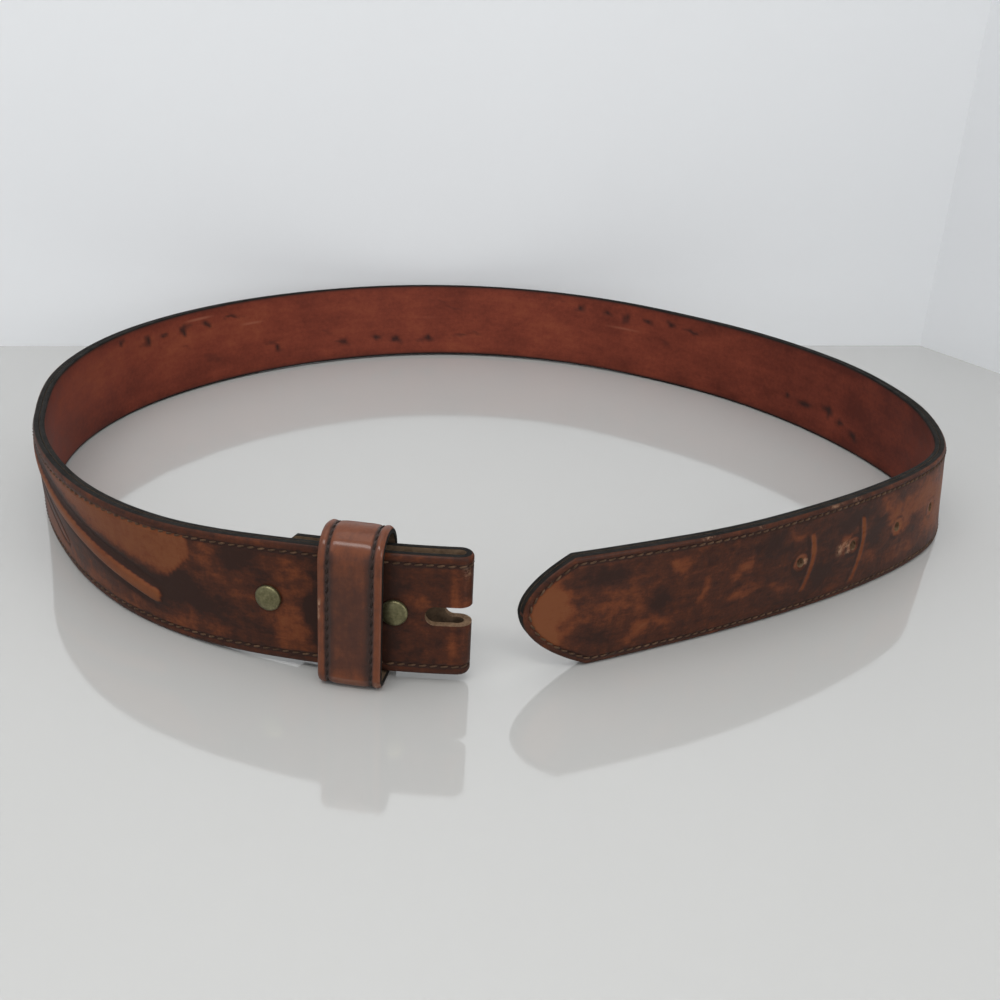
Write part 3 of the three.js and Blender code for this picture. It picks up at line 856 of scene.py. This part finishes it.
def stitchPiece(name, starts, ends, outs, material):
    # a stitch from each start to its end, raised along its out direction; all in metres
    shape, faces = stitchShape()
    middle = (starts + ends) / 2
    along = ends - starts
    along /= np.linalg.norm(along, axis=1)[:, None]
    outs = outs / np.linalg.norm(outs, axis=1)[:, None]
    across = np.cross(outs, along)
    axes = np.stack([along, across, outs], 1)
    points = (middle[:, None] + np.einsum("pk,nkc->npc", shape * mm, axes)).reshape(-1, 3)
    firsts = range(0, len(points), len(shape))
    everyFace = [tuple(first + corner for corner in face) for first in firsts for face in faces]
    mesh = bpy.data.meshes.new(name)
    mesh.from_pydata(points.tolist(), [], everyFace)
    mesh.materials.append(material)
    piece = newPiece(name, mesh)
    bpy.ops.object.shade_smooth()
    return piece


def stitchRow():
    # the outline drawn in by the stitches' inset, walked at their pitch
    way = np.gradient(edgePath, axis=0)
    way /= np.linalg.norm(way, axis=1)[:, None]
    inset = stitchInset(edgePath[:, 0])
    inner = edgePath + np.stack([-way[:, 1], way[:, 0]], 1) * inset[:, None]
    inner = inner[edgeDistance(inner[:, 0], inner[:, 1]) > inset - 0.12]
    length = np.concatenate([[0], np.cumsum(np.linalg.norm(np.diff(inner, axis=0), axis=1))])
    middles = np.arange(stitching["pitch"] / 2, length[-1], stitching["pitch"])

    def walk(distance):
        return np.stack([np.interp(distance, length, inner[:, axis]) for axis in (0, 1)], 1)

    reach = stitching["reach"]
    start, end = walk(middles - reach), walk(middles + reach)
    direction = (end - start) / (2 * reach)
    across = np.stack([-direction[:, 1], direction[:, 0]], 1)
    return start + across * stitching["slant"], end - across * stitching["slant"]


def makeStrapStitches():
    start, end = stitchRow()
    clear = np.minimum(start[:, 0], end[:, 0]) > tabStart + 3
    start, end = start[clear], end[clear]
    side = strap["face"] / 2 - 0.08
    outs = bandPoint(start[:, 0], side + 1, start[:, 1]) - bandPoint(start[:, 0], side, start[:, 1])
    return stitchPiece("strapStitches", bandPoint(start[:, 0], side, start[:, 1]),
                       bandPoint(end[:, 0], side, end[:, 1]), outs, threadLook)


strapStitches = makeStrapStitches()
print("strap stitched")


# Keeper, a stitched band round the doubled strap

keeper = {
    "at": 32.8, "width": 18.5, "wall": 2.0, "border": 1.15, "innerRound": 0.4,
    "stitchInset": 2.9, "stitchPitch": 2.9, "stitchSink": 0.30, "stitchSlant": 0.18, "lineStep": 1.3,
}
keeperCorners = ((-10.3, 0, 3), (10.15, 0, 4.5), (8.8, 49, 8.5), (-9.2, 45.8, 9))   # out, height, radius


def keeperOutline():
    # points and outward directions round the keeper, with the length walked
    corners = [np.array(corner[:2], float) for corner in keeperCorners]
    spots, normals = [], []
    for index, (corner, row) in enumerate(zip(corners, keeperCorners)):
        back = corners[index - 1] - corner
        on = corners[(index + 1) % 4] - corner
        back, on = back / np.linalg.norm(back), on / np.linalg.norm(on)
        half = math.acos(float(back @ on)) / 2
        centre = corner + (back + on) / np.linalg.norm(back + on) * row[2] / math.sin(half)
        first = math.atan2(*(corner + back * row[2] / math.tan(half) - centre)[::-1])
        last = math.atan2(*(corner + on * row[2] / math.tan(half) - centre)[::-1])
        angles = first + (last - first) % (2 * math.pi) * np.linspace(0, 1, 15)
        arc = np.stack([np.cos(angles), np.sin(angles)], 1)
        spots.append(centre + arc * row[2])
        normals.append(arc)
    ends = [spots[(index + 1) % 4][0] for index in range(4)]
    outline, directions = [], []
    for arc, normal, end in zip(spots, normals, ends):
        gap = np.linalg.norm(end - arc[-1])
        count = max(1, round(gap / keeper["lineStep"]))
        line = arc[-1] + (end - arc[-1]) * (np.arange(1, count) / count)[:, None]
        outline.append(np.concatenate([arc, line]))
        directions.append(np.concatenate([normal, np.repeat(normal[-1:], count - 1, 0)]))
    outline, directions = np.concatenate(outline), np.concatenate(directions)
    steps = np.linalg.norm(np.roll(outline, -1, 0) - outline, axis=1)
    return outline, directions, np.concatenate([[0], np.cumsum(steps)[:-1]])


keeperSeat = strapPoint(keeper["at"], 0, 0)
keeperMiddle = sum(Vector(corner).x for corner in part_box("keeper")) / 2


def keeperPoint(across, out, height):
    # the band's width runs along X; out of the strap is -Y
    across, out, height = np.broadcast_arrays(across, out, height)
    return np.stack([keeperMiddle + across * mm, keeperSeat[1] - out * mm, height * mm], -1)


def keeperRelief(across):
    gap = keeper["width"] / 2 - np.abs(across)
    groove = -0.42 * bell(gap - keeper["stitchInset"], 0.55)
    border = 0.15 * bell(gap - 1.4, 0.9)
    pillow = 0.18 * smooth(keeper["stitchInset"], keeper["stitchInset"] + 3, gap)
    return groove + border + pillow


def makeKeeper():
    outline, normals, walked = keeperOutline()
    half, border, wall, inner = keeper["width"] / 2, keeper["border"], keeper["wall"], keeper["innerRound"]
    turns = np.radians(np.arange(0, 91, 15))
    outer = np.linspace(-half + border, half - border, 45)
    rightTop = half - border + border * np.sin(turns[1:])
    rightDepth = -border + border * np.cos(turns[1:])
    innerTurns = turns[1::2]
    innerAcross = half - inner + inner * np.cos(innerTurns)
    innerDepth = -wall + inner - inner * np.sin(innerTurns)
    across = np.concatenate([
        outer, rightTop, innerAcross, np.linspace(half - inner, inner - half, 9),
        -innerAcross[::-1], -rightTop[::-1]])
    depth = np.concatenate([
        keeperRelief(outer), rightDepth, innerDepth, np.full(9, -wall), innerDepth[::-1], rightDepth[::-1]])
    paintCount = len(rightTop) + len(innerTurns) - 3
    slots = np.repeat([0, 1, 2, 1, 0], [len(outer) + 3, paintCount, 9, paintCount - 1, 4])
    spots = outline[:, None] + normals[:, None] * depth[None, :, None]
    points = keeperPoint(across[None], spots[..., 0], spots[..., 1])
    places = np.stack(np.broadcast_arrays(walked[:, None], across[None]), -1)
    return ringPiece("keeperBand", points, places, slots, (keeperLeather, edgePaint, fleshSide), loop=True)


keeperMarks = {"topFrom": 41, "bottomTo": 8}


def keeperWear(run, across):
    outline, _, walked = keeperOutline()
    out = np.interp(run, walked, outline[:, 0])
    height = np.interp(run, walked, outline[:, 1])
    gap = keeper["width"] / 2 - np.abs(across)
    border = smooth(keeper["stitchInset"] - 0.2, keeper["stitchInset"] - 1.0, gap)
    top = smooth(keeperMarks["topFrom"], keeperMarks["topFrom"] + 3, height)
    bottom = smooth(keeperMarks["bottomTo"], 3, height)
    upper = smooth(30, 39, height)
    tan = 0.36 + 0.14 * top + 0.34 * bottom + 0.12 * upper
    tan = tan - 0.10 * bell(height - 20, 9) * bell(across, 4)
    tan = tan * (1 - border) + 0.6 * border
    grime = 0.9 * bell(gap - keeper["stitchInset"], 0.55)
    grime = grime + 0.28 * bell(gap - keeper["stitchInset"] - 1.0, 0.9) * (1 - top)
    front = smooth(0, 6, out)
    scuffs = front * bell(height - 26, 1.4) * bell(across + 8.6, 0.5) * 0.9
    scuffs = scuffs + front * bell(height - 23, 0.8) * bell(across + 8.8, 0.4) * 0.7
    scuffs = scuffs + bell(height - 1.5, 1.6) * bell(across - 8.6, 0.9) * 0.8
    return wearAndSheenColours(tan, grime, scuffs)


def makeKeeperStitches():
    outline, normals, walked = keeperOutline()
    total = walked[-1] + np.linalg.norm(outline[-1] - outline[0])
    count = round(total / keeper["stitchPitch"])
    middles = (np.arange(count) + 0.5) * total / count
    closedOutline = np.concatenate([outline, outline[:1]])
    closedWalked = np.append(walked, total)
    closedNormals = np.concatenate([normals, normals[:1]])

    def walk(rows, distance):
        return np.stack([np.interp(distance % total, closedWalked, rows[:, axis]) for axis in (0, 1)], 1)

    rows = []
    for side in (-1, 1):
        across = side * (keeper["width"] / 2 - keeper["stitchInset"])
        ends = []
        for way in (-1, 1):
            normal = walk(closedNormals, middles + way)
            spot = walk(closedOutline, middles + way) - normal * keeper["stitchSink"]
            ends.append(keeperPoint(across + way * keeper["stitchSlant"], spot[:, 0], spot[:, 1]))
        normal = walk(closedNormals, middles)
        outs = np.stack([np.zeros(count), -normal[:, 0], normal[:, 1]], 1)
        rows.append((ends[0], ends[1], outs))
    starts, ends, outs = (np.concatenate(column) for column in zip(*rows))
    return stitchPiece("keeperStitches", starts, ends, outs, keeperThread)


keeperBand = makeKeeper()
paintWearAndSheen(keeperBand, keeperWear)
keeperStitches = makeKeeperStitches()
print("keeper made")


# Snaps: a domed cap on a post, and a plain washer behind the tab

snap = {
    "radius": 4.0, "rim": 0.55, "post": 1.4, "postEnd": -7.85,
    "domeSteps": ((0.16, 0.30), (0.45, 0.28), (1.1, 0.24), (1.2, 0.10), (0.8, 0.03)),   # inset, rise
    "backRadius": 3.6, "backRise": 0.8, "backSide": -6.95, "backBevel": 0.25, "backRing": 1.1,
}


def selectFlat(mesh, level, direction):
    # picks the faces that lie at a height and look up or down
    for polygon in mesh.polygons:
        middle = polygon.center
        polygon.select = abs(middle.z - level) < 1e-6 and polygon.normal.z * direction > 0.9


def makeSnapCap(name, place):
    run, height = place
    radius = snap["radius"] * mm
    rim = snap["rim"] * mm
    bpy.ops.mesh.primitive_cylinder_add(vertices=64, radius=radius, depth=rim, location=(0, 0, rim / 2))
    cap = bpy.context.object
    settle(cap)
    mesh = cap.data
    editing(True)
    bpy.ops.mesh.select_mode(type="FACE")
    for inset, lift in snap["domeSteps"]:
        editing(False)
        level = max(vertex.co.z for vertex in mesh.vertices)
        selectFlat(mesh, level, 1)
        editing(True)
        bpy.ops.mesh.inset(thickness=inset * mm, depth=0)
        bpy.ops.transform.translate(value=(0, 0, lift * mm))
    editing(False)
    selectFlat(mesh, 0, -1)
    editing(True)
    bpy.ops.mesh.inset(thickness=(snap["radius"] - snap["post"]) * mm, depth=0)
    bpy.ops.mesh.extrude_region_move(TRANSFORM_OT_translate={"value": (0, 0, snap["postEnd"] * mm)})
    editing(False)
    bpy.ops.object.shade_smooth_by_angle(angle=math.radians(50))
    mesh.transform(seatMatrix(run, strap["face"] / 2 + 0.05, height))
    cap.name = name
    mesh.materials.append(brass)
    return cap


def makeSnapBack(name, place):
    run, height = place
    rise = snap["backRise"] * mm
    bpy.ops.mesh.primitive_cylinder_add(vertices=48, radius=snap["backRadius"] * mm, depth=rise,
                                        location=(0, 0, -rise / 2))
    back = bpy.context.object
    settle(back)
    mesh = back.data
    selectFlat(mesh, -rise, -1)
    editing(True)
    bpy.ops.mesh.select_mode(type="FACE")
    bpy.ops.mesh.bevel(offset=snap["backBevel"] * mm, segments=3)
    editing(False)
    selectFlat(mesh, -rise, -1)
    editing(True)
    bpy.ops.mesh.inset(thickness=snap["backRing"] * mm, depth=0)
    bpy.ops.transform.translate(value=(0, 0, snap["backBevel"] * mm))
    editing(False)
    bpy.ops.object.shade_smooth_by_angle(angle=math.radians(40))
    mesh.transform(seatMatrix(run, snap["backSide"], height))
    back.name = name
    mesh.materials.append(brass)
    return back


snapCaps = {key: makeSnapCap("snapCap" + key, place) for key, place in snapPlaces.items()}
snapBacks = {key: makeSnapBack("snapBack" + key, place) for key, place in snapPlaces.items()}
print("snaps set")

for piece in (strapFace, strapLining, keeperBand):
    makeActive(piece)
    bpy.ops.object.shade_smooth_by_angle(angle=math.radians(45))

# What each piece rides on, stands for and is finished as
pieceRoles = [
    (strapFace, ("strap_face",), "face_leather"),
    (strapStitches, (), "face_leather"),
    (strapLining, ("strap_lining",), "lining_leather"),
    (keeperBand, ("keeper",), "keeper_leather"),
    (keeperStitches, (), "keeper_leather"),
]
pieceRoles += [(cap, ("snap_cap_" + key,), "snap_brass") for key, cap in snapCaps.items()]
pieceRoles += [(back, ("snap_back_" + key,), "snap_brass") for key, back in snapBacks.items()]
for piece, nodes, slot in pieceRoles:
    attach(piece, "root")
    if nodes:
        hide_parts(*nodes)


# Table, wall, light and camera

room = {
    "wallPoints": ((-1.30, -0.255), (0.2259, 0.2807), (0.62, -0.257)),   # foot of the wall, left to right
    "wallHeight": 0.9,
    "floorLevel": -0.0003,   # just under the belt
    "floorColour": (0.46, 0.455, 0.44),
    "wallColour": (0.735, 0.745, 0.755),
}


def driftingColour(tree, name, scale, detail, share):
    # a pale colour that drifts down to a share of itself
    drift = addNoise(tree, readPlace(tree), scale, detail, 0.5)
    low = tuple(channel * share for channel in room[name])
    return addRamp(tree, drift, ((0.3, low), (0.7, room[name])))


def floorMaterial():
    material, tree, shader = newMaterial("glossyTable")
    ripple = addNoise(tree, readPlace(tree), 60, 3, 0.5)
    fill(tree, shader, {
        "Base Color": driftingColour(tree, "floorColour", 3, 2, 0.985), "Roughness": 0.07, "IOR": 2.1,
        "Normal": addBump(tree, ripple, 0.0002, 0.08),
    })
    return material


def wallMaterial():
    # seen from behind, the wall lets the view through
    material, tree, shader = newMaterial("paleWall")
    fill(tree, shader, {"Base Color": driftingColour(tree, "wallColour", 4, 3, 0.975), "Roughness": 0.6})
    geometry = tree.nodes.new("ShaderNodeNewGeometry")
    clear = tree.nodes.new("ShaderNodeBsdfTransparent")
    mix = addNode(tree, "MixShader", {
        "Fac": geometry.outputs["Backfacing"], 1: shader.outputs["BSDF"], 2: clear.outputs["BSDF"]})
    fill(tree, tree.nodes["Material Output"], {"Surface": mix.outputs["Shader"]})
    return material


def makeRoom():
    bpy.ops.mesh.primitive_plane_add(size=6, location=(0, 0, room["floorLevel"]))
    floor = bpy.context.object
    floor.name = "table"
    settle(floor)
    floor.data.materials.append(floorMaterial())
    feet = [(x, y, room["floorLevel"]) for x, y in room["wallPoints"]]
    heads = [(x, y, room["wallHeight"]) for x, y in room["wallPoints"]]
    mesh = bpy.data.meshes.new("wall")
    mesh.from_pydata(feet + heads, [], [(0, 1, 4, 3), (1, 2, 5, 4)])
    mesh.materials.append(wallMaterial())
    wall = bpy.data.objects.new("wall", mesh)
    bpy.context.collection.objects.link(wall)


lights = {
    # name: place, what it faces, width and height, watts, colour
    "overhead": ((-0.15, 0.0, 1.6), (0, 0, 0), (1.2, 1.2), 5, (1, 0.99, 0.97)),
    "strip": ((-0.1, -0.95, 1.25), (0, -0.1, 0.03), (1.3, 0.26), 8.5, (1, 0.99, 0.97)),
    "side": ((1.1, -0.75, 0.5), (0, -0.15, 0.03), (0.5, 0.5), 3.2, (1, 0.99, 0.97)),
    "window": ((-1.1, -1.1, 1.0), (0, 0, 0.05), (0.9, 0.9), 1.5, (0.96, 0.98, 1)),
}
sky = {"colour": (0.93, 0.96, 1.0), "strength": 0.86}


def makeLights():
    for name, (place, aim, size, watts, colour) in lights.items():
        light = bpy.data.lights.new(name, "AREA")
        light.shape = "RECTANGLE"
        light.size, light.size_y = size
        light.energy = watts
        light.color = colour
        lamp = bpy.data.objects.new(name, light)
        lamp.location = place
        lamp.rotation_euler = (Vector(aim) - Vector(place)).to_track_quat("-Z", "Y").to_euler()
        bpy.context.collection.objects.link(lamp)
    world = bpy.data.worlds.new("room")
    world.use_nodes = True
    tree = world.node_tree
    fill(tree, tree.nodes["Background"], {"Color": sky["colour"], "Strength": sky["strength"]})
    bpy.context.scene.world = world


view = {"place": (0.06151, -0.43922, 0.1794), "down": 23.6, "roll": 3.2, "turn": 7.682, "focal": 1118}


def makeCamera():
    down, roll, turn = (math.radians(view[key]) for key in ("down", "roll", "turn"))
    right = Vector((math.cos(roll), math.sin(roll) * math.sin(down), math.sin(roll) * math.cos(down)))
    below = Vector((math.sin(roll), -math.cos(roll) * math.sin(down), -math.cos(roll) * math.cos(down)))
    ahead = Vector((0, math.cos(down), -math.sin(down)))
    axes = Matrix((right, -below, -ahead)).transposed()
    camera = bpy.data.cameras.new("camera")
    camera.sensor_width = 36
    camera.lens = view["focal"] * camera.sensor_width / 1000
    camera.clip_start = 0.01
    holder = bpy.data.objects.new("camera", camera)
    bpy.context.collection.objects.link(holder)
    holder.matrix_world = Matrix.Translation(view["place"]) @ (
        Matrix.Rotation(turn, 3, "Z") @ axes).to_4x4()
    bpy.context.scene.camera = holder


makeRoom()
makeLights()
makeCamera()
bpy.context.scene.view_settings.view_transform = "Standard"
print("room lit")
